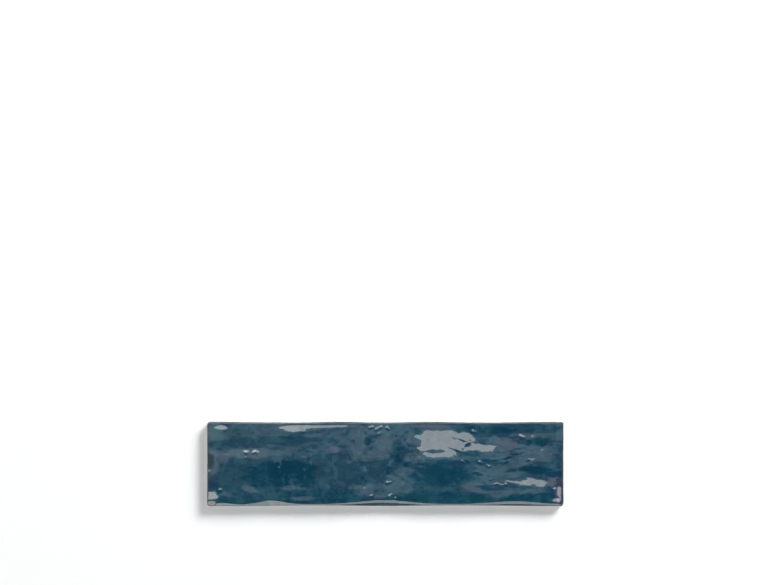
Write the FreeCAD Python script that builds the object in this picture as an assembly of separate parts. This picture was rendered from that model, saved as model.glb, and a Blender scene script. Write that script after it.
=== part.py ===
import FreeCAD, Part
import math
import os

# A glazed wall tile, pressed from clay in one piece, in millimetres with +Z up.
# It lies on its ribbed back with the glazed face up. The origin is the centre of the
# back, on the plane that the tile lies on. +X runs along the tile and +Y across it.

# The block
length = 250.0
width = 59.0
thickness = 8.9  # from the plane under the ribs to the middle level of the face

# The outline, which the mould and the kiln leave a little uneven
long_side_dip = 0.5  # how far the long sides draw in between their high places
short_side_dip = 0.1
upper_side_dips = 3
lower_side_dips = 2
end_dips = 1
dip_drift = -0.06  # how far the dips wander from even spacing, as a share of the side
points_per_dip = 8
upper_left_corner = 2.0
upper_right_corner = 1.2
lower_left_corner = 1.8
lower_right_corner = 2.0

# The glazed edge between the face and the sides, and the edge of the back
arris_radius = 0.8
back_chamfer = 0.5

# The face's relief: swells over the whole face, then single marks of the presser's hand
# Each swell: height, wave length, heading in degrees from +X, phase in degrees
SWELLS = (
    (0.06, 170.0, 15.0, 200.0),
    (0.02, 80.0, -25.0, 25.0),
)
# Each mark is a low ridge beside a shallow hollow, so the glaze between them tips
# towards +Y: its middle as shares of half the length and half the width, its half
# length and half width, how steeply the glaze tips in its middle, and how far the mark
# climbs towards +Y for each step along +X. A mark that tips the other way has a minus.
MARKS = (
    # The broad press and its tail
    (0.292, 0.468, 13.3, 11.0, 0.040, 0.0),
    (0.432, 0.508, 8.5, 6.0, 0.034, -0.2),
    (0.548, 0.393, 10.5, 3.2, 0.038, -0.06),
    # The small press near the right end, and the finger mark on the upper edge
    (0.828, -0.441, 9.0, 2.9, 0.046, 0.0),
    (-0.496, 0.858, 12.0, 2.8, 0.038, 0.0),
    # The press at the lower left corner
    (-0.973, -0.719, 4.2, 3.2, 0.040, 0.15),
    # Faint hollows, from left to right
    (-0.952, 0.746, 8.0, 6.0, 0.011, 0.0),
    (-0.760, 0.278, 18.0, 3.4, 0.013, 0.0),
    (-0.776, -0.576, 8.0, 2.6, 0.018, -0.2),
    (-0.164, 0.475, 4.5, 10.5, 0.012, 0.0),
    (-0.004, 0.508, 4.0, 10.0, 0.012, 0.0),
    (-0.072, 0.203, 9.0, 3.8, 0.011, 0.0),
    (-0.080, -0.627, 14.0, 4.6, 0.014, 0.0),
    (0.064, -0.576, 9.0, 6.0, 0.014, 0.0),
    (0.148, 0.305, 3.2, 8.0, 0.009, 0.0),
    (0.560, 0.136, 9.0, 4.5, 0.014, 0.0),
    (0.672, 0.034, 14.0, 6.0, 0.012, 0.0),
    (0.816, 0.220, 17.0, 5.2, 0.011, 0.0),
    (0.560, -0.339, 13.0, 6.5, 0.016, 0.0),
    (0.744, -0.644, 24.0, 4.2, 0.018, 0.0),
    # Faint rises
    (-0.576, -0.237, 20.0, 10.0, -0.010, 0.0),
    (-0.304, -0.746, 16.0, 4.0, -0.008, 0.0),
    (0.360, -0.271, 17.0, 8.0, -0.006, 0.0),
    (0.872, -0.197, 9.0, 2.6, -0.022, -0.1),
    (0.760, 0.814, 22.0, 4.0, -0.010, 0.0),
)
mark_reach = 4.0  # in half lengths, past which a mark isn't felt
mark_bluntness = 4
# A mark tips evenly across its width, then fades with the distance to this power
mark_fade = 0.4
mark_crispness = 8

# Along the lower edge the glaze rolls over, then drops in a steeper lip
roll_start = 1.1  # how far in from the edge the roll begins
roll_slope = 0.2
lip_start = 0.2
lip_slope = 0.5
softness = 0.8  # how far a slope takes to reach its full steepness
# Where it bulges: the middle as a share of half the length, the half length, and how
# much further in the roll and the lip begin there
BULGES = (
    (-0.640, 11.0, 2.8, 0.0),
    (-0.032, 26.0, 3.2, 2.2),
    (0.728, 22.0, 2.3, 1.2),
)
end_fall = 0.15  # how far the face sinks towards each end
end_reach = 2.5  # how far in from an end that shows
step_along = 2.5  # spacing of the surface's points
step_across = 2.0

# The back: a grid of ribs around shallow pockets, inside a plain border
rib_width = 2.0
pocket_size = 6.0
pocket_depth = 0.7
pocket_draft = 0.35  # how much smaller the pocket's floor is on each side
back_border = 4.5

# How close two points are that count as one
same_place = 0.01

V = FreeCAD.Vector


def side_dip(share, depth, dips):
    """How far a side lies inside its straight line, at a share of the way along it."""
    drifted = share + dip_drift * math.sin(2 * math.pi * share)
    return depth * math.sin(math.pi * dips * drifted) ** 2


def side_curve(start, end, inward, depth, dips):
    """One uneven side of the outline, from corner to corner."""
    steps = points_per_dip * dips
    points = []
    for i in range(steps + 1):
        share = i / steps
        on_line = start + (end - start) * share
        points.append(on_line + inward * side_dip(share, depth, dips))
    curve = Part.BSplineCurve()
    curve.interpolate(points)
    return curve.toShape()


def upright_edge_at(block, corner):
    """The block's upright edge that stands on a corner of its outline."""
    for edge in block.Edges:
        ends = [vertex.Point for vertex in edge.Vertexes]
        if all((V(p.x, p.y, 0) - corner).Length < same_place for p in ends):
            return edge
    raise ValueError("no upright edge at this corner")


def blank():
    """The tile's upright block: the uneven outline, pulled up past the face."""
    x, y = length / 2, width / 2
    lower_left, lower_right = V(-x, -y, 0), V(x, -y, 0)
    upper_right, upper_left = V(x, y, 0), V(-x, y, 0)
    sides = [
        side_curve(lower_left, lower_right, V(0, 1, 0), long_side_dip, lower_side_dips),
        side_curve(lower_right, upper_right, V(-1, 0, 0), short_side_dip, end_dips),
        side_curve(upper_right, upper_left, V(0, -1, 0), long_side_dip, upper_side_dips),
        side_curve(upper_left, lower_left, V(1, 0, 0), short_side_dip, end_dips),
    ]
    block = Part.Face(Part.Wire(sides)).extrude(V(0, 0, 2 * thickness))
    for corner, radius in (
        (lower_left, lower_left_corner),
        (lower_right, lower_right_corner),
        (upper_right, upper_right_corner),
        (upper_left, upper_left_corner),
    ):
        block = block.makeFillet(radius, [upright_edge_at(block, corner)])
    return block


def mark_height(x, y, mark):
    """How far one mark raises or sinks the face at a point."""
    share_x, share_y, half_length, half_width, tip, lean = mark
    along = x - share_x * length / 2
    dx = abs(along) / half_length
    if dx > mark_reach:
        return 0.0
    dy = (y - share_y * width / 2 - lean * along) / half_width
    across = dy / (1 + dy**mark_crispness) ** ((1 + mark_fade) / mark_crispness)
    return -tip * half_width * across / (1 + dx**mark_bluntness)


def sinking(depth, slope):
    """How far a surface has sunk, where it sinks at a slope that it reaches softly."""
    depth = max(depth, 0.0)
    return slope * depth**2 / (depth + softness)


def lower_roll(x, y):
    """How far the glaze has rolled down towards the lower edge."""
    roll, lip = roll_start, lip_start
    for share, half_length, more_roll, more_lip in BULGES:
        bulge = math.exp(-(((x - share * length / 2) / half_length) ** 2))
        roll += more_roll * bulge
        lip += more_lip * bulge
    inside = width / 2 + y
    return sinking(roll - inside, roll_slope) + sinking(lip - inside, lip_slope)


def face_height(x, y):
    """Height of the glazed face over a point of the back."""
    height = thickness
    for swell, wave, heading, phase in SWELLS:
        turn = math.radians(heading)
        along = x * math.cos(turn) + y * math.sin(turn)
        height += swell * math.sin(2 * math.pi * along / wave + math.radians(phase))
    for mark in MARKS:
        height += mark_height(x, y, mark)
    to_end = max(length / 2 - abs(x), 0.0)
    height -= end_fall * math.exp(-((to_end / end_reach) ** 2))
    return height - lower_roll(x, y)


def over_the_face():
    """Everything above the face, as a block with the relief on its underside."""
    margin = 2 * step_along
    columns = math.ceil((length + 2 * margin) / step_along)
    rows = math.ceil((width + 2 * margin) / step_across)
    step_x = (length + 2 * margin) / columns
    step_y = (width + 2 * margin) / rows
    left, near = -length / 2 - margin, -width / 2 - margin
    heights = []
    for i in range(columns + 1):
        x = left + i * step_x
        heights.append([face_height(x, near + j * step_y) for j in range(rows + 1)])
    surface = Part.BSplineSurface()
    surface.interpolate(heights, left, step_x, near, step_y)
    return surface.toShape().extrude(V(0, 0, 2 * thickness))


def pocket():
    """One shallow pocket of the back, with its mouth centred on the origin."""
    mouth = pocket_size / 2
    rings = []
    for z, half in ((0, mouth), (pocket_depth, mouth - pocket_draft)):
        corners = [V(-half, -half, z), V(half, -half, z), V(half, half, z), V(-half, half, z)]
        rings.append(Part.makePolygon(corners + corners[:1]))
    return Part.makeLoft(rings, True, True)


def back_pockets():
    """The whole grid of pockets, centred on the back."""
    pitch = pocket_size + rib_width
    columns = int((length - 2 * back_border + rib_width) / pitch)
    rows = int((width - 2 * back_border + rib_width) / pitch)
    pockets = []
    for i in range(columns):
        for j in range(rows):
            place = V((i - (columns - 1) / 2) * pitch, (j - (rows - 1) / 2) * pitch, 0)
            pockets.append(pocket().translated(place))
    return pockets


def edges_between(solid, low, high):
    """The edges whose ends both lie between two levels."""
    return [
        edge
        for edge in solid.Edges
        if all(low < vertex.Z < high for vertex in edge.Vertexes)
    ]


def wall_tile():
    """The whole tile as one solid."""
    tile = blank().cut(over_the_face())
    rim = edges_between(tile, thickness / 2, 2 * thickness)
    tile = tile.makeFillet(arris_radius, rim)
    foot = edges_between(tile, -same_place, same_place)
    tile = tile.makeChamfer(back_chamfer, foot)
    return tile.cut(back_pockets())


os.makedirs("parts", exist_ok=True)
tile = wall_tile()
box = tile.optimalBoundingBox()
print("valid", tile.isValid(), "solids", len(tile.Solids), "faces", len(tile.Faces))
print("size", box.XLength, box.YLength, box.ZLength, "volume", tile.Volume)
tile.exportStep("parts/wall_tile.step")
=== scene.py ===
import math

import bmesh
import bpy
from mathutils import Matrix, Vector, noise


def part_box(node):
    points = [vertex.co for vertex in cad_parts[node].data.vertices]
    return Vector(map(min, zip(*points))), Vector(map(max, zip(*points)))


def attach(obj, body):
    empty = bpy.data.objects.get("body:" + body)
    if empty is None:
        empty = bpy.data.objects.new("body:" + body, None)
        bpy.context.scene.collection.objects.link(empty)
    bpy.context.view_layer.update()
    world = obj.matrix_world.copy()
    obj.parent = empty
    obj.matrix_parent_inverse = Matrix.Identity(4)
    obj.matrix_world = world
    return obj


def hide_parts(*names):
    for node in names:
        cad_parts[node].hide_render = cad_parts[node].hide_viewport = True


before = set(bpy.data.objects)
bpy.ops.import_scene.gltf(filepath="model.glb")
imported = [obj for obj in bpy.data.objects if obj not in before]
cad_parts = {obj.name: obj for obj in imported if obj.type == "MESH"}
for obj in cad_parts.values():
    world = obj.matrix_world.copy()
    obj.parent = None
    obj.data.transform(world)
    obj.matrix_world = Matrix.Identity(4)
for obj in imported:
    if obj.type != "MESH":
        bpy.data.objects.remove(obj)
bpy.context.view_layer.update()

# One glazed wall tile lying on its ribbed back. Sizes are in millimetres here and
# become metres when a mesh is finished. +X runs along the tile and +Z out of the face.
MM = 0.001

# The block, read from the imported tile
low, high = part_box("wall_tile")
ROOM = 0.004  # how much smaller the glazed tile is than the solid, so that it stays inside
LENGTH = (high[0] - low[0]) / MM - ROOM
WIDTH = (high[1] - low[1]) / MM - ROOM
FACE_LEVEL = 8.8  # middle of the face, a little under the solid's to leave room for ripples

# The outline: how far the long and the short sides draw in, how far their dips wander from
# even spacing as a share of the side, how many dips each side has, and the corners' radii
LONG_DIP, SHORT_DIP, DIP_DRIFT = 0.5, 0.1, -0.06
UPPER_DIPS, LOWER_DIPS, END_DIPS = 3, 2, 1
UPPER_LEFT, UPPER_RIGHT, LOWER_LEFT, LOWER_RIGHT = 2.0, 1.2, 1.8, 2.0
CHAMFER = 0.5  # round the back

# The glazed edge's radius on each side
UPPER_ARRIS, LEFT_ARRIS, RIGHT_ARRIS, LOWER_ARRIS = 0.5, 0.8, 0.6, 0.4
# The lower edge also rolls down: how far in the roll and the steep lip below it begin,
# how steep each is, and stretches where both begin further in
ROLL_START, ROLL_SLOPE = 1.1, 0.2
LIP_START, LIP_SLOPE = 0.2, 0.5
SOFTNESS = 0.15  # how far a slope takes to reach its full steepness
# Each stretch: its middle, half length, and how much further in the roll and lip begin
BULGES = (
    (-114.0, 8.0, 1.2, 0.0),
    (-80.0, 12.0, 2.8, 0.0),
    (-1.0, 24.0, 3.4, 2.3),
    (92.0, 24.0, 2.3, 1.2),
)
END_FALL, END_REACH = 0.04, 2.0  # how far the face sinks at the ends, and how far in

# Swells: height, wave length, heading and phase in degrees
SWELLS = ((0.06, 170.0, 15.0, 200.0), (0.02, 80.0, -25.0, 25.0))
# Marks of the presser's hand: middle, half length, half width, tip of the glaze towards
# the upper side, lean, which is how far a mark climbs for each step along the tile, and
# how blunt its ends are
MARKS = (
    # The broad press, its ragged left side, its peak and its tail
    (37.8, 14.0, 12.7, 10.1, 0.036, 0.0, 9),
    (23.4, 19.2, 2.2, 1.2, 0.030, 0.1, 4),
    (24.2, 11.6, 1.8, 1.0, 0.030, 0.0, 4),
    (55.8, 15.2, 7.0, 6.0, 0.030, -0.2, 4),
    (58.0, 20.2, 4.2, 2.4, 0.024, -0.2, 4),
    (68.5, 11.6, 9.0, 2.9, 0.036, -0.06, 4),
    # Dragged wrinkles that cut into it
    (36.0, 8.9, 5.5, 1.3, -0.034, 0.03, 6),
    (49.2, 9.8, 5.4, 0.9, -0.031, -0.35, 6),
    (51.4, 17.5, 4.8, 0.9, -0.042, -0.24, 6),
    (57.4, 13.2, 2.0, 1.5, -0.056, 0.2, 6),
    # The small press near the right end
    (104.6, -13.3, 6.9, 2.8, 0.037, -0.16, 4),
    (97.4, -13.9, 5.4, 1.9, 0.032, 0.0, 4),
    (90.0, -12.2, 5.0, 0.8, 0.040, -0.15, 4),
    (79.0, -13.9, 5.0, 0.5, 0.034, 0.0, 4),
    # Finger marks along the upper edge
    (-61.8, 25.1, 8.6, 2.5, 0.029, 0.0, 4),
    (-49.5, 26.5, 23.0, 0.95, 0.030, 0.0, 8),
    (-114.8, 25.6, 2.9, 1.5, 0.042, 0.0, 4),
    # Faint hollows, from left to right
    (-120.0, 22.0, 7.5, 6.0, 0.0115, 0.0, 6),
    (-113.5, 4.6, 4.0, 3.6, 0.011, 0.0, 4),
    (-96.0, 8.0, 16.0, 3.4, 0.013, 0.0, 4),
    (-111.5, -20.8, 4.5, 1.8, 0.014, -0.3, 4),
    (-96.0, -17.8, 4.6, 2.2, 0.018, -0.3, 4),
    (-66.0, -17.0, 5.5, 2.2, 0.020, 0.0, 3),
    (-57.0, -24.3, 6.0, 1.8, 0.022, 0.0, 3),
    (-36.0, 10.0, 4.5, 2.2, 0.010, 0.0, 3),
    (-20.0, 14.0, 5.2, 11.0, 0.0105, 0.0, 6),
    (-9.0, 24.0, 9.0, 2.6, 0.004, 0.0, 6),
    (-9.0, 6.0, 9.0, 3.4, 0.007, 0.0, 6),
    (-1.5, 15.0, 5.0, 11.0, 0.0105, 0.0, 6),
    (-7.5, -18.5, 13.2, 4.8, 0.0148, 0.0, 6),
    (-3.0, -24.0, 5.5, 2.2, 0.010, 0.0, 4),
    (11.0, -14.5, 8.0, 6.0, 0.0150, -0.1, 5),
    (14.0, -5.5, 5.5, 3.0, 0.011, 0.0, 3),
    (18.0, 4.5, 4.8, 4.8, 0.0088, 0.0, 4),
    (19.0, 18.0, 3.0, 5.0, 0.010, 0.0, 4),
    (34.0, 26.4, 11.0, 0.9, 0.016, 0.0, 4),
    (60.0, 4.2, 5.0, 1.8, 0.013, 0.0, 4),
    (82.0, 15.0, 11.0, 3.4, 0.014, -0.15, 4),
    (104.0, 19.5, 7.0, 1.2, 0.007, 0.2, 4),
    (76.0, 6.0, 12.0, 3.0, 0.014, 0.0, 6),
    (106.0, 7.0, 11.5, 5.2, 0.013, 0.0, 6),
    (90.0, 0.5, 12.0, 3.4, 0.012, 0.0, 6),
    (74.0, -7.5, 13.0, 6.2, 0.0160, -0.1, 6),
    (94.0, -8.0, 8.0, 3.4, 0.012, -0.2, 6),
    (62.0, -15.5, 8.0, 4.2, 0.0165, -0.2, 5),
    (81.0, -19.5, 11.0, 4.8, 0.0148, 0.0, 5),
    (102.5, -19.0, 8.0, 2.6, 0.018, 0.0, 6),
    (110.0, -13.0, 9.0, 5.0, 0.006, 0.0, 6),
    (119.5, -12.5, 4.5, 3.6, 0.010, 0.0, 6),
    # Brush strokes on the right, which show dark
    (74.0, 2.8, 2.5, 1.2, -0.032, 0.0, 3),
    (83.0, 1.6, 2.2, 0.9, -0.032, 0.1, 3),
    (100.0, 1.6, 1.6, 0.8, -0.034, 0.0, 3),
    (86.0, 4.9, 2.6, 0.7, -0.030, 0.2, 3),
    (92.0, 7.2, 4.0, 0.5, -0.026, 0.0, 3),
    (92.0, -3.4, 6.0, 1.0, -0.026, 0.2, 4),
    (65.0, -7.2, 3.0, 1.0, -0.032, -0.25, 3),
    (70.0, -17.0, 5.0, 1.3, -0.024, -0.12, 3),
    (93.0, 10.8, 3.0, 0.5, -0.030, 0.0, 3),
    (97.0, 15.5, 5.0, 1.8, -0.024, -0.1, 4),
    (110.0, -5.2, 9.0, 2.4, -0.026, -0.12, 4),
    (109.0, 16.0, 5.0, 2.6, -0.016, 0.0, 4),
    (74.0, 22.0, 4.0, 1.5, -0.016, 0.0, 4),
    (101.0, -23.6, 14.0, 2.6, -0.020, 0.05, 6),
    # Faint rises
    (-72.0, -7.0, 20.0, 10.0, -0.012, 0.0, 6),
    (-70.0, 17.0, 14.0, 3.0, -0.010, 0.0, 4),
    (-12.8, 16.5, 1.9, 3.2, -0.018, 0.0, 4),
    (-5.0, 20.5, 3.2, 1.5, -0.013, 0.3, 4),
    (-22.0, 16.0, 1.2, 2.4, -0.012, 0.0, 4),
    (9.0, 9.0, 3.0, 8.0, -0.010, 0.0, 4),
    (44.0, -8.0, 15.0, 7.0, -0.010, 0.0, 6),
    (52.0, 1.0, 6.0, 1.4, -0.014, 0.0, 4),
    (-38.0, -22.0, 16.0, 4.0, -0.010, 0.0, 6),
    (40.0, -23.0, 20.0, 3.4, -0.010, 0.0, 6),
    (90.0, 25.0, 24.0, 3.4, -0.012, 0.0, 6),
)
# Dents at the lower corners, which push up less of the glaze beside them
DENTS = (
    (-121.8, -22.2, 4.4, 4.0, 0.044, 0.12, 6),
    (121.7, -21.5, 1.4, 7.0, 0.050, 0.0, 8),
    (119.0, -17.0, 1.8, 1.2, 0.045, 0.0, 4),
    (119.6, -25.3, 2.2, 1.8, 0.046, 0.0, 4),
)
MARK_REACH = 4.0  # in half lengths, past which a mark isn't felt
# A mark tips evenly across its width, then fades with the distance to this power
MARK_FADE, DENT_FADE, CRISPNESS = 0.4, 3.0, 8
# The chip in the lower left corner: middle, half length, half width and depth
CHIP = (-121.9, -27.5, 3.3, 1.6, 0.12)

# The glaze's flow: size of one feature and how far it wanders, from broad to fine
FLOW = ((16.0, 0.8), (4.5, 0.9), (1.9, 0.28))
FLOW_ALONG = 1.3  # how much further it wanders along the tile than across
CALM_RIM = 8.0  # how far in from the outline the flow is calmer
SEED = 7  # sets which way the glaze wanders
# Its ripples: size of one along and across, and how high they stand
RIPPLES = ((6.5, 10.0, 0.015), (3.6, 4.2, 0.004))
# Brush strokes along the tile: length, width and height of one
STROKE_LONG, STROKE_WIDE, STROKE_HEIGHT = 9.0, 1.7, 0.0040
# They grow stronger towards the right: where that is half done, how gently it goes, and
# how strong they are at the left
STROKES_FROM, STROKES_SPREAD, FEWEST_STROKES = 15.0, 15.0, 0.2
# How far apart in the noise the layers of each lie
FLOW_LAYERS, RIPPLE_LAYERS, STROKE_LAYER = 5.3, 5.0, 11.0

# Specks under the glaze, which catch the light: middle, radius and height
SPECKS = (
    (-123.8, -5.3, 0.8, 0.060),
    (-115.3, -18.2, 0.9, 0.085),
    (-98.8, 8.6, 0.7, 0.060),
    (-97.4, 8.2, 0.9, 0.095),
    (-98.0, 4.9, 0.9, 0.020),
    (-92.6, 8.2, 0.8, 0.075),
    (-91.2, 8.8, 0.9, 0.095),
    (-89.6, 8.4, 0.6, 0.035),
    (-75.0, -2.6, 0.8, 0.060),
    (-11.0, 25.8, 0.7, 0.060),
    (-9.4, 26.3, 0.8, 0.080),
    (-10.0, -22.5, 0.8, 0.065),
    (-6.4, 24.7, 0.8, 0.080),
    (-5.0, 25.6, 0.6, 0.050),
    (-3.2, 26.3, 0.8, 0.080),
    (1.0, 25.9, 0.9, 0.095),
    (2.2, 24.8, 0.7, 0.060),
    (1.8, -13.1, 0.9, 0.090),
    (3.8, -12.7, 0.7, 0.060),
    (3.0, -22.6, 0.9, 0.085),
    (4.0, -21.4, 0.6, 0.045),
    (7.0, -24.0, 0.8, 0.065),
    (53.6, 1.7, 0.8, 0.080),
    (55.2, 0.9, 0.7, 0.055),
    (61.2, 23.5, 0.9, 0.090),
    (63.0, 23.0, 0.6, 0.045),
    (66.4, 1.4, 0.9, 0.095),
    (68.0, 0.5, 0.6, 0.045),
    (71.4, -0.7, 0.6, 0.050),
    (72.8, -1.6, 0.8, 0.075),
    (74.3, -11.0, 0.6, 0.035),
    (78.0, -13.8, 0.7, 0.045),
    (84.5, -14.0, 0.8, 0.070),
    (94.6, 19.6, 1.0, 0.110),
    (96.4, 18.9, 0.9, 0.095),
)
SPECK_STRETCH = 1.1  # how much longer a speck is than wide
SPECK_REACH = 3.0  # in radii, past which a speck isn't felt
# How much of the glaze's flow the specks and the lower edge's roll follow
SPECK_FLOW, ROLL_FLOW = 0.6, 0.35

# The mesh
FACE_STEP = 0.45  # between the grid's lines
CROWDED = 6  # grid lines that crowd together at the outline, for the arris
SIDE_RINGS = 5  # down the sides

# The back's ribs, and its square pockets, which narrow towards their floors
RIB, POCKET, POCKET_DEPTH, POCKET_DRAFT = 2.0, 6.0, 0.7, 0.35
POCKET_COLUMNS, POCKET_ROWS = 30, 6


# Outline and relief


def side_dip(share, depth, dips):
    """How far a side lies inside its straight line, at a share of the way along it."""
    drifted = share + DIP_DRIFT * math.sin(2 * math.pi * share)
    return depth * math.sin(math.pi * dips * drifted) ** 2


def drawn_in(x, y):
    """A point of the straight-sided block, moved to where the uneven outline has it."""
    along = x / LENGTH + 0.5
    across = y / WIDTH + 0.5
    left = side_dip(1 - across, SHORT_DIP, END_DIPS) * (1 - along)
    right = side_dip(across, SHORT_DIP, END_DIPS) * along
    lower = side_dip(along, LONG_DIP, LOWER_DIPS) * (1 - across)
    upper = side_dip(1 - along, LONG_DIP, UPPER_DIPS) * across
    return x + left - right, y + lower - upper


def corner_radius(x, y):
    """The radius of the outline's corner in the same quarter as a point."""
    if y > 0:
        return UPPER_RIGHT if x > 0 else UPPER_LEFT
    return LOWER_RIGHT if x > 0 else LOWER_LEFT


def nearest_edge(x, y):
    """How far inside the outline a point lies, and the level direction that leaves there."""
    radius = corner_radius(x, y)
    a, b = abs(x) - (LENGTH / 2 - radius), abs(y) - (WIDTH / 2 - radius)
    if a > 0 and b > 0:
        away, inside = Vector((a, b)).normalized(), radius - math.hypot(a, b)
    elif b > a:
        away, inside = Vector((0, 1)), radius - b
    else:
        away, inside = Vector((1, 0)), radius - a
    return max(inside, 0.0), math.copysign(away.x, x), math.copysign(away.y, y)


def arris_drop(x, y):
    """How far the glazed edge has turned down at a point."""
    inside, away_x, away_y = nearest_edge(x, y)
    radius = away_y**2 * (UPPER_ARRIS if away_y > 0 else LOWER_ARRIS)
    radius += away_x**2 * (RIGHT_ARRIS if away_x > 0 else LEFT_ARRIS)
    if inside >= radius:
        return 0.0
    return radius - math.sqrt(radius**2 - (radius - inside) ** 2)


def sinking(depth, slope):
    """How far a surface has sunk, where it sinks at a slope that it reaches softly."""
    depth = max(depth, 0.0)
    return slope * depth**2 / (depth + SOFTNESS)


def lower_roll(x, y):
    """How far the glaze has rolled down towards the lower edge."""
    roll, lip = ROLL_START, LIP_START
    for middle, half, more_roll, more_lip in BULGES:
        bulge = math.exp(-(((x - middle) / half) ** 2))
        roll += more_roll * bulge
        lip += more_lip * bulge
    inside = WIDTH / 2 + y
    return sinking(roll - inside, ROLL_SLOPE) + sinking(lip - inside, LIP_SLOPE)


def flowed(x, y):
    """The point that the pressed relief shows at x, y once the glaze has run over it."""
    new_x, new_y = x, y
    inside = min(LENGTH / 2 - abs(x), WIDTH / 2 - abs(y))
    strength = min(1.0, inside / CALM_RIM)
    for layer, (size, reach) in enumerate(FLOW):
        drift = noise.noise_vector(Vector((x / size, y / size, FLOW_LAYERS * layer)))
        new_x += FLOW_ALONG * reach * strength * drift.x
        new_y += reach * strength * drift.y
    return new_x, new_y


def mark_height(x, y, mark, fade):
    """How far one mark raises or sinks the glaze. Its blunter ends narrow less."""
    mark_x, mark_y, half_length, half_width, tip, lean, bluntness = mark
    dx = abs(x - mark_x) / half_length
    if dx > MARK_REACH:
        return 0.0
    strength = 1 / (1 + dx**bluntness)
    narrowed = half_width * strength ** (2 / bluntness)
    dy = (y - mark_y - lean * (x - mark_x)) / narrowed
    across = dy / (1 + dy**CRISPNESS) ** ((1 + fade) / CRISPNESS)
    return -tip * half_width * strength * across


def pressed(x, y):
    """How high the pressed face stands: its swells, its marks and its dents."""
    height = 0.0
    for swell, wave, heading, phase in SWELLS:
        turn = math.radians(heading)
        along = x * math.cos(turn) + y * math.sin(turn)
        height += swell * math.sin(2 * math.pi * along / wave + math.radians(phase))
    height += sum(mark_height(x, y, mark, MARK_FADE) for mark in MARKS)
    return height + sum(mark_height(x, y, dent, DENT_FADE) for dent in DENTS)


def rippled(x, y):
    """How high the glaze's own ripples and brush strokes stand."""
    height = 0.0
    for layer, (long, wide, tall) in enumerate(RIPPLES):
        height += tall * noise.noise(Vector((x / long, y / wide, RIPPLE_LAYERS * layer)))
    strength = 1 / (1 + math.exp((STROKES_FROM - x) / STROKES_SPREAD))
    strength = FEWEST_STROKES + (1 - FEWEST_STROKES) * strength
    stroke = noise.noise(Vector((x / STROKE_LONG, y / STROKE_WIDE, STROKE_LAYER)))
    return height + STROKE_HEIGHT * strength * stroke


def specks(x, y):
    """How high the specks stand."""
    height = 0.0
    for speck_x, speck_y, radius, tall in SPECKS:
        away = math.hypot((x - speck_x) / SPECK_STRETCH, y - speck_y) / radius
        if away < SPECK_REACH:
            height += tall * math.exp(-(away**2))
    return height


def chipped(x, y):
    """How deep the chip in the corner is at a point."""
    middle_x, middle_y, half_length, half_width, depth = CHIP
    away = math.hypot((x - middle_x) / half_length, (y - middle_y) / half_width)
    return depth / (1 + away**CRISPNESS)


def relief(x, y):
    """How high the face stands over its middle level."""
    flowed_x, flowed_y = flowed(x, y)
    height = pressed(flowed_x, flowed_y) + rippled(flowed_x, flowed_y)
    height += specks(x + SPECK_FLOW * (flowed_x - x), y + SPECK_FLOW * (flowed_y - y))
    end = END_FALL * math.exp(-(((LENGTH / 2 - abs(x)) / END_REACH) ** 2))
    return height - end - chipped(x, y) - lower_roll(x, y + ROLL_FLOW * (flowed_y - y))


# The tile's mesh


def grid_line(index, count, reach):
    """Where one of a grid's lines lies. The lines crowd together towards the outline."""
    from_end = min(index, count - index)
    step = 2 * reach / (count - CROWDED)
    if from_end < CROWDED:
        inside = step * from_end**2 / (2 * CROWDED)
    else:
        inside = step * (from_end - CROWDED / 2)
    return (reach - inside) * (-1 if 2 * index < count else 1)


def rounded(x, y):
    """A grid point, moved so that the corners of the grid become round."""
    radius = corner_radius(x, y)
    centre_x, centre_y = LENGTH / 2 - radius, WIDTH / 2 - radius
    a, b = abs(x) - centre_x, abs(y) - centre_y
    if a <= 0 or b <= 0:
        return x, y
    far = max(a, b)
    angle = math.pi / 4 * (b / a if a >= b else 2 - a / b)
    new_x, new_y = centre_x + far * math.cos(angle), centre_y + far * math.sin(angle)
    return math.copysign(new_x, x), math.copysign(new_y, y)


def face_grid(mesh):
    """The whole face with its arris, as a grid that ends where the sides begin."""
    columns = round(LENGTH / FACE_STEP) + CROWDED
    rows = round(WIDTH / FACE_STEP) + CROWDED
    bmesh.ops.create_grid(mesh, x_segments=columns, y_segments=rows, size=1.0)
    for vertex in mesh.verts:
        column = round((vertex.co.x + 1) / 2 * columns)
        row = round((vertex.co.y + 1) / 2 * rows)
        x = grid_line(column, columns, LENGTH / 2)
        y = grid_line(row, rows, WIDTH / 2)
        x, y = rounded(x, y)
        vertex.co = (x, y, FACE_LEVEL + relief(x, y) - arris_drop(x, y))
    return [edge for edge in mesh.edges if edge.is_boundary]


def next_ring(mesh, ring):
    """Extrudes a ring of edges in place. Gives its points and its edges."""
    made = bmesh.ops.extrude_edge_only(mesh, edges=ring)["geom"]
    points = {item for item in made if isinstance(item, bmesh.types.BMVert)}
    edges = [
        item
        for item in made
        if isinstance(item, bmesh.types.BMEdge) and set(item.verts) <= points
    ]
    return points, edges


def upright_sides(mesh, ring):
    """The sides, down to the chamfer of the back, and the chamfer."""
    for i in range(SIDE_RINGS):
        points, ring = next_ring(mesh, ring)
        for point in points:
            point.co.z += (CHAMFER - point.co.z) / (SIDE_RINGS - i)
    points, ring = next_ring(mesh, ring)
    for point in points:
        _, away_x, away_y = nearest_edge(point.co.x, point.co.y)
        point.co -= Vector((away_x * CHAMFER, away_y * CHAMFER, CHAMFER))
    return ring


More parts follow.
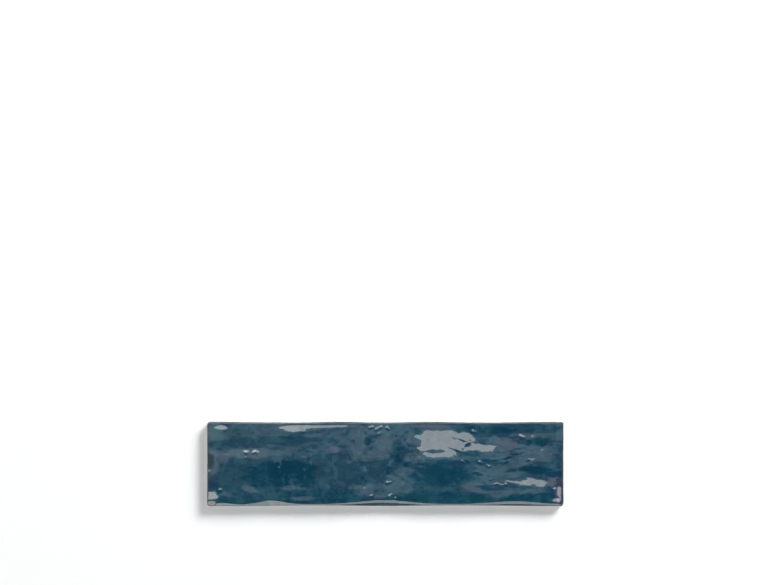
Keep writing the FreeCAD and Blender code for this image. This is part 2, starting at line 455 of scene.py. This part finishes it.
def ribbed_back(mesh, ring):
    """The flat back with its grid of pockets, joined to the foot of the sides."""
    pitch = POCKET + RIB
    made = bmesh.ops.create_grid(
        mesh, x_segments=POCKET_COLUMNS, y_segments=POCKET_ROWS, size=1.0
    )["verts"]
    for vertex in made:
        vertex.co.x *= pitch * POCKET_COLUMNS / 2
        vertex.co.y *= pitch * POCKET_ROWS / 2
    cells = list({face for vertex in made for face in vertex.link_faces})
    border = list({edge for face in cells for edge in face.edges if edge.is_boundary})
    bmesh.ops.inset_individual(mesh, faces=cells, thickness=RIB / 2)
    bmesh.ops.inset_individual(mesh, faces=cells, thickness=POCKET_DRAFT)
    floors = {vertex for face in cells for vertex in face.verts}
    bmesh.ops.translate(mesh, verts=list(floors), vec=(0, 0, POCKET_DEPTH))
    bmesh.ops.triangle_fill(mesh, use_beauty=True, edges=ring + border)


def glazed_wall_tile():
    """The whole tile as one closed mesh."""
    mesh = bmesh.new()
    ring = face_grid(mesh)
    ring = upright_sides(mesh, ring)
    ribbed_back(mesh, ring)
    for vertex in mesh.verts:
        vertex.co.x, vertex.co.y = drawn_in(vertex.co.x, vertex.co.y)
    bmesh.ops.recalc_face_normals(mesh, faces=mesh.faces)
    bmesh.ops.scale(mesh, vec=(MM, MM, MM), verts=mesh.verts)
    for face in mesh.faces:
        face.smooth = face.calc_center_median().z > CHAMFER * MM
    data = bpy.data.meshes.new("glazed_wall_tile")
    mesh.to_mesh(data)
    mesh.free()
    tile = bpy.data.objects.new("glazed_wall_tile", data)
    bpy.context.collection.objects.link(tile)
    return tile


# Shader building


FLOAT, COLOUR, VECTOR = "NodeSocketFloat", "NodeSocketColor", "NodeSocketVector"
# Which of a colour mix's sockets are its share, its two colours and its result
MIX_SHARE, MIX_FIRST, MIX_SECOND, MIX_RESULT = 0, 6, 7, 2
NOISE_MIDDLE = (0.5, 0.5, 0.5)
RAGGED = 0.55  # how much the finer layers of a blotch's noise count
# What is drawn over the tile wanders: the scale and detail of that noise, and its reach
WANDER_SCALE, WANDER_DETAIL, WANDER_REACH = 170.0, 3.0, 4.0
SPOT_HALF, SPOT_SOFT = 5.0, 0.3  # a spot's size and the softness of its edge, unless given
SPOT_SQUARE = 3.0  # 2 for an oval spot, more for a squarer one


def feed(tree, socket, value):
    """Links an input to another node's output, or sets it to a plain value."""
    if isinstance(value, bpy.types.NodeSocket):
        tree.links.new(value, socket)
    else:
        socket.default_value = value


def add(tree, kind, **settings):
    """A new node. Capitalised names are inputs, with _ for a space, and others are settings."""
    made = tree.nodes.new(kind)
    for name, value in settings.items():
        if name[0].isupper():
            feed(tree, made.inputs[name.replace("_", " ")], value)
        else:
            setattr(made, name, value)
    return made


def new_group(name, inputs, outputs):
    """A node group with named sockets. Gives the tree, its input node and its output node."""
    tree = bpy.data.node_groups.new(name, "ShaderNodeTree")
    for label, kind, value in inputs:
        socket = tree.interface.new_socket(name=label, in_out="INPUT", socket_type=kind)
        if value is not None:
            socket.default_value = value
    for label, kind in outputs:
        tree.interface.new_socket(name=label, in_out="OUTPUT", socket_type=kind)
    return tree, tree.nodes.new("NodeGroupInput"), tree.nodes.new("NodeGroupOutput")


def place_group(tree, group, **settings):
    """One use of a node group, with its own values and links."""
    return add(tree, "ShaderNodeGroup", node_tree=group, **settings)


def math_node(tree, operation, first, second, clamp=False):
    """The result of one sum."""
    made = add(tree, "ShaderNodeMath", operation=operation, use_clamp=clamp)
    feed(tree, made.inputs[0], first)
    feed(tree, made.inputs[1], second)
    return made.outputs[0]


def vector_node(tree, operation, first, second):
    """The result of one sum with vectors."""
    made = add(tree, "ShaderNodeVectorMath", operation=operation)
    feed(tree, made.inputs[0], first)
    feed(tree, made.inputs[1], second)
    return made.outputs[0]


def ramped(tree, value, start, end, first=0.0, last=1.0):
    """A smooth step from a first value to a last, while the input goes from start to end."""
    made = add(
        tree,
        "ShaderNodeMapRange",
        interpolation_type="SMOOTHSTEP",
        Value=value,
        From_Min=start,
        From_Max=end,
        To_Min=first,
        To_Max=last,
    )
    return made.outputs[0]


def mixed(tree, share, first, second):
    """Two colours mixed by a mask. Each is a socket or three plain numbers."""
    made = add(tree, "ShaderNodeMix", data_type="RGBA")
    feed(tree, made.inputs[MIX_SHARE], share)
    for place, colour in ((MIX_FIRST, first), (MIX_SECOND, second)):
        if isinstance(colour, tuple):
            colour = (*colour, 1.0)
        feed(tree, made.inputs[place], colour)
    return made.outputs[MIX_RESULT]


def blotches_group():
    """Soft-edged blotches: where a noise of some size lies over a threshold."""
    tree, taken, given = new_group(
        "Blotches",
        (
            ("Place", VECTOR, None),
            ("Stretch", VECTOR, (1.0, 1.0, 1.0)),
            ("Scale", FLOAT, 100.0),
            ("Detail", FLOAT, 3.0),
            ("Start", FLOAT, 0.4),
            ("Full", FLOAT, 0.6),
        ),
        (("Mask", FLOAT),),
    )
    stretched = add(
        tree, "ShaderNodeMapping", Vector=taken.outputs["Place"], Scale=taken.outputs["Stretch"]
    )
    cloud = add(
        tree,
        "ShaderNodeTexNoise",
        Vector=stretched.outputs[0],
        Scale=taken.outputs["Scale"],
        Detail=taken.outputs["Detail"],
        Roughness=RAGGED,
    )
    mask = ramped(tree, cloud.outputs["Fac"], taken.outputs["Start"], taken.outputs["Full"])
    tree.links.new(mask, given.inputs["Mask"])
    return tree


def wander_group():
    """A place shifted a little by a noise, so that what is drawn there has a ragged outline."""
    tree, taken, given = new_group(
        "Wander",
        (("Place", VECTOR, None), ("Reach", FLOAT, WANDER_REACH * MM)),
        (("Place", VECTOR),),
    )
    place = taken.outputs["Place"]
    cloud = add(
        tree, "ShaderNodeTexNoise", Vector=place, Scale=WANDER_SCALE, Detail=WANDER_DETAIL
    )
    drift = vector_node(tree, "SUBTRACT", cloud.outputs["Color"], NOISE_MIDDLE)
    shift = add(tree, "ShaderNodeVectorMath", operation="SCALE", Scale=taken.outputs["Reach"])
    tree.links.new(drift, shift.inputs[0])
    moved = vector_node(tree, "ADD", place, shift.outputs[0])
    tree.links.new(moved, given.inputs["Place"])
    return tree


def spot_group():
    """An oval spot with a soft edge, seen from above. Its middle and its reach are in metres."""
    tree, taken, given = new_group(
        "Spot",
        (
            ("Place", VECTOR, None),
            ("Middle", VECTOR, None),
            ("Half length", FLOAT, SPOT_HALF * MM),
            ("Half width", FLOAT, SPOT_HALF * MM),
            ("Soft", FLOAT, SPOT_SOFT),
        ),
        (("Mask", FLOAT),),
    )
    away = vector_node(tree, "SUBTRACT", taken.outputs["Place"], taken.outputs["Middle"])
    away = add(tree, "ShaderNodeSeparateXYZ", Vector=away).outputs
    far = 0.0
    for axis, reach in (("X", "Half length"), ("Y", "Half width")):
        share = math_node(tree, "DIVIDE", away[axis], taken.outputs[reach])
        share = math_node(tree, "POWER", math_node(tree, "ABSOLUTE", share, 0.0), SPOT_SQUARE)
        far = math_node(tree, "ADD", far, share)
    far = math_node(tree, "POWER", far, 1 / SPOT_SQUARE)
    inner = math_node(tree, "SUBTRACT", 1.0, taken.outputs["Soft"])
    outer = math_node(tree, "ADD", 1.0, taken.outputs["Soft"])
    tree.links.new(ramped(tree, far, inner, outer, 1.0, 0.0), given.inputs["Mask"])
    return tree


# Materials of the tile


# The fired clay, and the dark grog in it
CLAY_PALE, CLAY_DEEP = (0.53, 0.40, 0.30), (0.40, 0.27, 0.18)
GROG, GROG_SHARE = (0.18, 0.10, 0.07), 0.55
# The glaze: deep where it pooled, thin and milky where it ran off
GLAZE_DEEP = (0.002, 0.036, 0.070)
GLAZE_MIDDLE = (0.007, 0.054, 0.090)
GLAZE_THIN = (0.019, 0.078, 0.112)
GLAZE_STREAK = (0.032, 0.092, 0.126)
GLAZE_VIOLET = (0.030, 0.050, 0.095)
GLAZE_GREEN = (0.005, 0.064, 0.078)
PIT_BROWN, PIT_SHARE = (0.012, 0.020, 0.022), 0.8
# How a noise is squeezed along the tile, across it and upwards
EVEN, FLAT, LYING, UPRIGHT = (1.0, 1.0, 1.0), (1.0, 1.0, 1.7), (0.8, 1.2, 2.0), (1.0, 1.0, 0.0)
# The noises of the clay, the streaks, the pits, the glaze's lower line, the chip and the
# glaze's skin: scale, detail, and where each starts to show and shows in full
CLAY_MOTTLES = {"Scale": 60.0, "Detail": 5.0, "Start": 0.35, "Full": 0.68}
GROG_SPECKS = {"Scale": 900.0, "Detail": 2.0, "Start": 0.62, "Full": 0.68}
CLAY_GRAIN = {"Scale": 1400.0, "Detail": 4.0, "Start": 0.2, "Full": 0.8}
DRIP_STREAKS = {"Scale": 235.0, "Detail": 1.5, "Start": 0.505, "Full": 0.60}
DRIP_BREAKS = {"Scale": 130.0, "Detail": 2.0, "Start": 0.46, "Full": 0.58}
PITS = {"Scale": 420.0, "Detail": 0.0, "Start": 0.80, "Full": 0.83}
GLAZE_RUNS = {"Scale": 75.0, "Detail": 1.6, "Start": 0.25, "Full": 0.75}
CHIP_MOTTLES = {"Scale": 700.0, "Detail": 2.0, "Start": 0.38, "Full": 0.50}
GLAZE_SKIN = {"Scale": 800.0, "Detail": 2.0, "Start": 0.1, "Full": 0.9}
# The glaze's mottles over its deep colour, each laid over those before it: share, squeeze,
# scale and detail of the noise, where it starts to show and shows in full, and colour
MOTTLES = (
    (1.0, EVEN, 45.0, 3.0, 0.38, 0.62, GLAZE_MIDDLE),
    (0.65, EVEN, 140.0, 2.5, 0.50, 0.61, GLAZE_THIN),
    (0.7, EVEN, 90.0, 2.0, 0.62, 0.74, GLAZE_VIOLET),
    (0.4, FLAT, 55.0, 3.0, 0.50, 0.72, GLAZE_GREEN),
    (0.5, LYING, 210.0, 1.5, 0.53, 0.59, GLAZE_DEEP),
    (0.4, LYING, 250.0, 1.5, 0.53, 0.59, GLAZE_THIN),
)
# Spots where the glaze is coloured otherwise: middle, half length, half width, strength and colour.
# Many lie over the faint hollows, rises and dark strokes. There the pale and violet-grey ones are
# painted reflection, the veils that the gloss shows, and the dark ones are painted shade where it
# shows none
TINTS_AND_PAINTED_LIGHT = (
    (-126.0, 1.5, 9.0, 10.0, 1.0, (0.052, 0.106, 0.135)),
    (-125.5, 2.5, 5.4, 5.6, 0.85, (0.010, 0.030, 0.042)),
    (-114.0, 4.5, 4.5, 3.5, 0.6, (0.032, 0.056, 0.098)),
    (-121.0, -14.0, 4.5, 3.0, 0.6, (0.014, 0.032, 0.075)),
    (-100.0, -26.2, 9.0, 1.3, 0.6, (0.010, 0.070, 0.080)),
    (-96.0, 7.6, 14.0, 3.0, 0.4, (0.050, 0.100, 0.130)),
    (-108.0, -9.0, 9.0, 5.0, 0.6, (0.004, 0.048, 0.080)),
    (-118.5, 21.5, 5.5, 6.0, 0.5, (0.020, 0.100, 0.110)),
    (-105.0, 22.0, 8.0, 3.5, 0.85, (0.002, 0.042, 0.070)),
    (-66.0, -4.0, 20.0, 8.0, 0.75, (0.001, 0.034, 0.062)),
    (-55.0, 15.0, 12.0, 4.0, 0.8, (0.002, 0.044, 0.078)),
    (-27.0, -4.0, 9.0, 6.0, 0.5, (0.003, 0.048, 0.078)),
    (-36.0, 10.0, 3.2, 2.1, 0.9, (0.045, 0.064, 0.130)),
    (-12.6, 16.5, 2.2, 3.2, 0.7, (0.003, 0.036, 0.060)),
    (-4.6, 20.4, 3.2, 1.6, 0.7, (0.003, 0.036, 0.060)),
    (21.0, -24.8, 8.0, 1.8, 0.8, (0.003, 0.050, 0.062)),
    (42.0, -8.0, 13.0, 5.5, 0.6, (0.001, 0.036, 0.066)),
    (33.0, 26.4, 11.0, 1.5, 0.7, (0.045, 0.058, 0.100)),
    (50.0, 0.5, 6.0, 1.6, 0.7, (0.010, 0.036, 0.085)),
    (58.0, -17.0, 7.0, 3.5, 0.5, (0.026, 0.050, 0.088)),
    (64.0, -23.5, 5.5, 3.0, 0.6, (0.003, 0.046, 0.064)),
    (89.0, 25.0, 16.0, 4.0, 0.7, (0.003, 0.038, 0.072)),
    (86.0, 14.0, 8.0, 3.6, 0.6, (0.036, 0.052, 0.092)),
    (106.0, -4.8, 7.0, 2.0, 0.8, (0.003, 0.040, 0.066)),
    (111.0, 16.0, 6.5, 3.2, 0.6, (0.004, 0.042, 0.066)),
    (117.0, -7.5, 4.5, 2.0, 0.8, (0.008, 0.036, 0.085)),
    (119.5, -12.5, 5.0, 3.0, 0.7, (0.045, 0.050, 0.085)),
    (121.5, -21.5, 2.6, 6.5, 0.8, (0.050, 0.050, 0.105)),
)
# Where the glaze dripped in streaks: from, to and softness, along and across the tile
DRIPS_ALONG, DRIPS_ACROSS = (-84.0, -33.0, 7.0), (-20.0, 9.0, 5.0)
# The dark streaks and the pale ones: share, colour, and how much their noise is squeezed
# upwards, which sets the two apart
STREAKS = ((0.9, GLAZE_DEEP, 1.0), (0.7, GLAZE_STREAK, 4.0))
# Across the tile the noise of the streaks and of their breaks is drawn out to 1 over this
STREAK_LONG, BREAK_LONG = 0.24, 0.7
# The chip: its colours, the size of its mottled middle, and how ragged and soft its edge is
# The grey of the chip's rim is painted shade at the broken glaze's edge
CHIP_RIM_PAINTED_SHADE, CHIP_MIDDLE = (0.060, 0.068, 0.078), (0.27, 0.28, 0.28)
CHIP_HEART, CHIP_RAGGED, CHIP_SOFT = 0.8, 2.0, 0.15
# The glaze where it thinned over the ends' edges: how far out and how high that starts, how
# softly, and how strong it is
RIM = (0.055, 0.060, 0.066)
RIM_FROM, RIM_LOW, RIM_SOFT, RIM_STRENGTH = 123.6, 7.8, 0.5, 0.55
GLAZE_LINE, RUNS = 3.2, 3.0  # height where the glaze ends on the sides, and how unevenly
GLAZE_LEAN = 0.05  # how much higher the glaze ends, for each step towards the upper side
GLAZE_THINS = 0.12  # over what height it ends
GLAZE_IOR, GLAZE_ROUGH, CLAY_ROUGH = 1.53, 0.02, 0.85
GRAIN_HEIGHT = 0.05  # of the clay's grain
SKIN_SHARE = 0.012  # how much of that the glaze's skin has


def clay_group(blotches):
    """Fired buff clay: its mottled colour and its grain."""
    tree, taken, given = new_group(
        "Fired clay",
        (
            ("Place", VECTOR, None),
            ("Pale", COLOUR, (*CLAY_PALE, 1.0)),
            ("Deep", COLOUR, (*CLAY_DEEP, 1.0)),
        ),
        (("Colour", COLOUR), ("Grain", FLOAT)),
    )
    place = taken.outputs["Place"]
    broad = place_group(tree, blotches, Place=place, **CLAY_MOTTLES)
    grog = place_group(tree, blotches, Place=place, **GROG_SPECKS)
    grain = place_group(tree, blotches, Place=place, **CLAY_GRAIN)
    colour = mixed(tree, broad.outputs[0], taken.outputs["Pale"], taken.outputs["Deep"])
    colour = mixed(tree, math_node(tree, "MULTIPLY", grog.outputs[0], GROG_SHARE), colour, GROG)
    tree.links.new(colour, given.inputs["Colour"])
    tree.links.new(grain.outputs[0], given.inputs["Grain"])
    return tree


def within(tree, place, axis, start, end, soft):
    """A soft mask of what lies between two places along an axis, in millimetres."""
    along = add(tree, "ShaderNodeSeparateXYZ", Vector=place).outputs[axis]
    from_middle = math_node(tree, "SUBTRACT", along, (start + end) / 2 * MM)
    from_middle = math_node(tree, "ABSOLUTE", from_middle, 0.0)
    half = (end - start) / 2
    return ramped(tree, from_middle, (half - soft) * MM, (half + soft) * MM, 1.0, 0.0)


def glaze_colour(tree, place, wandered, blotches, spot):
    """The glaze's colour, from its mottles, its tints, painted reflection and painted shade, and its
    streaks to the pits.
    """

    def patch(share, where=place, **values):
        """Blotches at a share of their strength."""
        mask = place_group(tree, blotches, Place=where, **values).outputs[0]
        return math_node(tree, "MULTIPLY", mask, share)

    colour = GLAZE_DEEP
    for share, stretch, scale, detail, start, full, tint in MOTTLES:
        mottles = patch(share, Stretch=stretch, Scale=scale, Detail=detail, Start=start, Full=full)
        colour = mixed(tree, mottles, colour, tint)
    # Tinted spots. Those over the faint hollows, rises and dark strokes are painted reflection and
    # painted shade
    for x, y, half_length, half_width, strength, tint in TINTS_AND_PAINTED_LIGHT:
        mask = place_group(
            tree,
            spot,
            Place=wandered,
            Middle=(x * MM, y * MM, 0.0),
            Half_length=half_length * MM,
            Half_width=half_width * MM,
        )
        colour = mixed(tree, math_node(tree, "MULTIPLY", mask.outputs[0], strength), colour, tint)
    along = within(tree, place, "X", *DRIPS_ALONG)
    across = within(tree, place, "Y", *DRIPS_ACROSS)
    drips = math_node(tree, "MULTIPLY", along, across)
    for share, tint, squeeze in STREAKS:
        long, broken = (1.0, STREAK_LONG, squeeze), (1.0, BREAK_LONG, squeeze)
        streaks = patch(share, wandered, Stretch=long, **DRIP_STREAKS)
        breaks = patch(1.0, Stretch=broken, **DRIP_BREAKS)
        streaks = math_node(tree, "MULTIPLY", streaks, breaks)
        colour = mixed(tree, math_node(tree, "MULTIPLY", streaks, drips), colour, tint)
    middle = within(tree, place, "X", -RIM_FROM, RIM_FROM, RIM_SOFT)
    top = within(tree, place, "Z", RIM_LOW, 2 * FACE_LEVEL, RIM_SOFT)
    ends = math_node(tree, "MULTIPLY", math_node(tree, "SUBTRACT", 1.0, middle), top)
    colour = mixed(tree, math_node(tree, "MULTIPLY", ends, RIM_STRENGTH), colour, RIM)
    return mixed(tree, patch(PIT_SHARE, **PITS), colour, PIT_BROWN)


def chip_mask(tree, place, spot, share):
    """Where the chip is bare, out to a share of its size."""
    middle_x, middle_y, half_length, half_width, _ = CHIP
    mask = place_group(
        tree,
        spot,
        Place=place,
        Middle=(middle_x * MM, middle_y * MM, 0.0),
        Half_length=half_length * share * MM,
        Half_width=half_width * share * MM,
        Soft=CHIP_SOFT,
    )
    return mask.outputs[0]


def glaze_cover(tree, place, blotches):
    """1 where the glaze covers the clay, and 0 below the uneven line where it ends."""
    runs = place_group(tree, blotches, Place=place, Stretch=UPRIGHT, **GLAZE_RUNS)
    runs = math_node(tree, "MULTIPLY", runs.outputs[0], RUNS * MM)
    line = math_node(tree, "SUBTRACT", (GLAZE_LINE + RUNS / 2) * MM, runs)
    places = add(tree, "ShaderNodeSeparateXYZ", Vector=place).outputs
    line = math_node(tree, "ADD", line, math_node(tree, "MULTIPLY", places["Y"], GLAZE_LEAN))
    over = math_node(tree, "SUBTRACT", places["Z"], line)
    return math_node(tree, "DIVIDE", over, GLAZE_THINS * MM, clamp=True)


def tile_material(blotches, clay, spot, wander):
    """Teal glaze on the face and the upper sides, bare clay under it and on the back."""
    material = bpy.data.materials.new("teal_glaze_on_buff_clay")
    material.use_nodes = True
    tree = material.node_tree
    shader = tree.nodes["Principled BSDF"]
    place = add(tree, "ShaderNodeTexCoord").outputs["Object"]
    bare = place_group(tree, clay, Place=place)
    cover = glaze_cover(tree, place, blotches)

    wandered = place_group(tree, wander, Place=place).outputs[0]
    colour = glaze_colour(tree, place, wandered, blotches, spot)
    ragged = place_group(tree, wander, Place=place, Reach=CHIP_RAGGED * MM).outputs[0]
    chip = chip_mask(tree, ragged, spot, 1.0)
    # The whole chip first takes the rim's grey, which is painted shade at the broken glaze's edge
    colour = mixed(tree, chip, colour, CHIP_RIM_PAINTED_SHADE)
    mottle = place_group(tree, blotches, Place=place, **CHIP_MOTTLES)
    heart = chip_mask(tree, ragged, spot, CHIP_HEART)
    heart = math_node(tree, "MULTIPLY", heart, mottle.outputs[0])
    colour = mixed(tree, heart, colour, CHIP_MIDDLE)
    colour = mixed(tree, cover, bare.outputs["Colour"], colour)
    tree.links.new(colour, shader.inputs["Base Color"])

    glossy = math_node(tree, "MULTIPLY", cover, math_node(tree, "SUBTRACT", 1.0, chip))
    rough = add(tree, "ShaderNodeMapRange", Value=glossy, To_Min=CLAY_ROUGH, To_Max=GLAZE_ROUGH)
    tree.links.new(rough.outputs[0], shader.inputs["Roughness"])
    grain = math_node(tree, "SUBTRACT", 1.0, glossy)
    grain = math_node(tree, "MULTIPLY", grain, bare.outputs["Grain"])
    skin = place_group(tree, blotches, Place=place, **GLAZE_SKIN)
    skin = math_node(tree, "MULTIPLY", skin.outputs[0], SKIN_SHARE)
    height = math_node(tree, "ADD", grain, skin)
    bump = add(tree, "ShaderNodeBump", Distance=GRAIN_HEIGHT * MM, Height=height)
    tree.links.new(bump.outputs[0], shader.inputs["Normal"])
    shader.inputs["IOR"].default_value = GLAZE_IOR
    return material


# Studio


# The camera's place, straight over the middle of the photograph's frame, in metres
CAMERA_PLACE = (-0.00096, 0.1203, 2.5)
FRAME_WIDTH = 0.5404  # what the photograph's width covers at the tile
SENSOR_WIDTH, FARTHEST = 36.0, 100.0  # the sensor in millimetres, the farthest view in metres

FLOOR_REACH, FLOOR_WHITE = 12.0, 0.8  # how far it reaches in metres, and how white it is
# The key lamp: heading and rise in degrees, distance and size in metres, and radiance
KEY_HEADING, KEY_RISE, KEY_REACH, KEY_SIZE, KEY_RADIANCE = 51.1, 35.4, 3.0, 1.25, 18.9
FILL, FILL_COLOUR = 0.895, (0.935, 0.98, 0.99)  # the even light from above
PLAIN_WHITE, WARM_WHITE, COOL_WHITE = (1.0, 1.0, 1.0), (1.0, 0.935, 0.865), (0.85, 0.94, 1.0)
# Cards seen only as reflections in the glaze, by their angles from upright in degrees as the
# tile sees them: from and to along X, from and to along Y, radiance, height in metres, colour
CARDS = {
    "dim_card": (-40, 40, -3.5, 30, 0.33, 9.0, COOL_WHITE),
    "pale_card": (-30, 30, -2.35, 22, 0.60, 8.6, COOL_WHITE),
    "paler_card": (-25, 25, -1.6, 20, 0.35, 8.4, COOL_WHITE),
    "bright_card": (-14, 14, 0.0, 13, 4.15, 8.2, WARM_WHITE),
    "left_card": (-14, -1.35, 0.0, 13, 1.1, 8.1, WARM_WHITE),
    "sparkle_card": (-14, 14, 5.6, 13, 6.0, 8.0, COOL_WHITE),
    "low_card": (-30, 30, -52, -17, 4.5, 2.0, WARM_WHITE),
    "low_left_card": (-30, -2.6, -52, -17, 1.0, 1.9, COOL_WHITE),
}
# Soft lights in a ring round the tile, which its gloss shows from the side: the headings of
# the first and the last in degrees, the step between them, each light's distance and width
# in metres, its lower and upper edge in degrees over the floor, and its radiance
RING_FIRST, RING_LAST, RING_STEP = -60, 240, 30
RING_AWAY, RING_WIDE, RING_FROM, RING_TO, RING_RADIANCE = 5.0, 1.9, 26, 34, 0.9
# The surroundings' grey at three heights, from low down to overhead
SKY_LOW, SKY_MIDDLE, SKY_HIGH = (0.14, 1.0), (0.5, 0.25), (0.87, 0.05)


def white_floor():
    """Diffuse white. What the camera or a reflection sees of it is lifted to pure white."""
    material = bpy.data.materials.new("white_floor")
    material.use_nodes = True
    tree = material.node_tree
    tree.nodes.clear()
    path = add(tree, "ShaderNodeLightPath")
    seen = math_node(tree, "MAXIMUM", path.outputs["Is Camera Ray"], path.outputs["Is Glossy Ray"])
    seen = math_node(tree, "MAXIMUM", seen, path.outputs["Is Transmission Ray"])
    colour = mixed(tree, seen, (FLOOR_WHITE, FLOOR_WHITE, FLOOR_WHITE), PLAIN_WHITE)
    surface = add(tree, "ShaderNodeBsdfDiffuse", Color=colour)
    out = add(tree, "ShaderNodeOutputMaterial")
    tree.links.new(surface.outputs[0], out.inputs["Surface"])
    return material


def floor():
    """The plain floor that the tile lies on."""
    mesh = bmesh.new()
    bmesh.ops.create_grid(mesh, x_segments=1, y_segments=1, size=FLOOR_REACH)
    data = bpy.data.meshes.new("floor")
    mesh.to_mesh(data)
    mesh.free()
    made = bpy.data.objects.new("floor", data)
    bpy.context.collection.objects.link(made)
    data.materials.append(white_floor())


def lamp(name, kind, place, strength, colour):
    """A lamp that the camera doesn't see."""
    data = bpy.data.lights.new(name, kind)
    data.energy = strength
    data.color = colour
    made = bpy.data.objects.new(name, data)
    bpy.context.collection.objects.link(made)
    made.location = place
    made.visible_camera = False
    return made


def panel(name, place, wide, deep, radiance, colour=PLAIN_WHITE):
    """A rectangular lamp that faces down until it is turned."""
    made = lamp(name, "AREA", place, radiance * math.pi * wide * deep, colour)
    made.data.shape = "RECTANGLE"
    made.data.size, made.data.size_y = wide, deep
    return made


def key_lamp():
    """The lamp that casts the tile's shadow."""
    turn, rise = math.radians(KEY_HEADING), math.radians(KEY_RISE)
    away = Vector((math.cos(rise) * math.cos(turn), math.cos(rise) * math.sin(turn), math.sin(rise)))
    key = panel("key", away * KEY_REACH, KEY_SIZE, KEY_SIZE, KEY_RADIANCE)
    key.rotation_euler = away.to_track_quat("Z", "Y").to_euler()


def fill_lamp():
    """Even light from above that casts no shadow and shows in no reflection."""
    fill = lamp("fill", "SUN", (0, 0, 1), FILL, FILL_COLOUR)
    fill.data.use_shadow = False
    fill.visible_glossy = False


def reflection_cards():
    """The cards over the tile."""
    for name, (*angles, radiance, height, colour) in CARDS.items():
        left, right, near, far = (height * math.tan(math.radians(angle)) for angle in angles)
        place = ((left + right) / 2, (near + far) / 2, height)
        card = panel(name, place, right - left, far - near, radiance, colour)
        card.visible_diffuse = False


def ring_lights():
    """Soft lights that stand round the tile and show only in its gloss."""
    lower, upper = (RING_AWAY * math.tan(math.radians(rise)) for rise in (RING_FROM, RING_TO))
    for heading in range(RING_FIRST, RING_LAST + 1, RING_STEP):
        turn = math.radians(heading)
        away = Vector((math.cos(turn), math.sin(turn), 0.0))
        place = away * RING_AWAY + Vector((0.0, 0.0, (lower + upper) / 2))
        light = panel(f"ring_light_{heading}", place, RING_WIDE, upper - lower, RING_RADIANCE)
        light.rotation_euler = away.to_track_quat("Z", "Y").to_euler()
        light.visible_diffuse = False


def sky():
    """A studio's surroundings: pale all round, dark overhead."""
    world = bpy.data.worlds.new("studio")
    bpy.context.scene.world = world
    world.use_nodes = True
    tree = world.node_tree
    tree.nodes.clear()
    place = add(tree, "ShaderNodeTexCoord").outputs["Generated"]
    height = add(tree, "ShaderNodeSeparateXYZ", Vector=place).outputs["Z"]
    ramp = add(tree, "ShaderNodeValToRGB", Fac=height)
    stops = ramp.color_ramp.elements
    for stop, (level, grey) in zip(stops, (SKY_LOW, SKY_HIGH)):
        stop.position = level
        stop.color = (grey, grey, grey, 1.0)
    level, grey = SKY_MIDDLE
    stops.new(level).color = (grey, grey, grey, 1.0)
    back = add(tree, "ShaderNodeBackground", Color=ramp.outputs["Color"])
    out = add(tree, "ShaderNodeOutputWorld")
    tree.links.new(back.outputs[0], out.inputs["Surface"])


def camera():
    """Looks straight down from over the middle of the photograph's frame."""
    data = bpy.data.cameras.new("camera")
    data.sensor_width = SENSOR_WIDTH
    data.lens = data.sensor_width * CAMERA_PLACE[2] / FRAME_WIDTH
    data.clip_end = FARTHEST
    made = bpy.data.objects.new("camera", data)
    bpy.context.collection.objects.link(made)
    made.location = CAMERA_PLACE
    bpy.context.scene.camera = made


# Making


noise.seed_set(SEED)
tile = glazed_wall_tile()
blotches = blotches_group()
clay, spot, wander = clay_group(blotches), spot_group(), wander_group()
tile.data.materials.append(tile_material(blotches, clay, spot, wander))
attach(tile, "root")
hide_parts("wall_tile")

floor()
key_lamp()
fill_lamp()
reflection_cards()
ring_lights()
sky()
camera()
bpy.context.scene.view_settings.view_transform = "Standard"
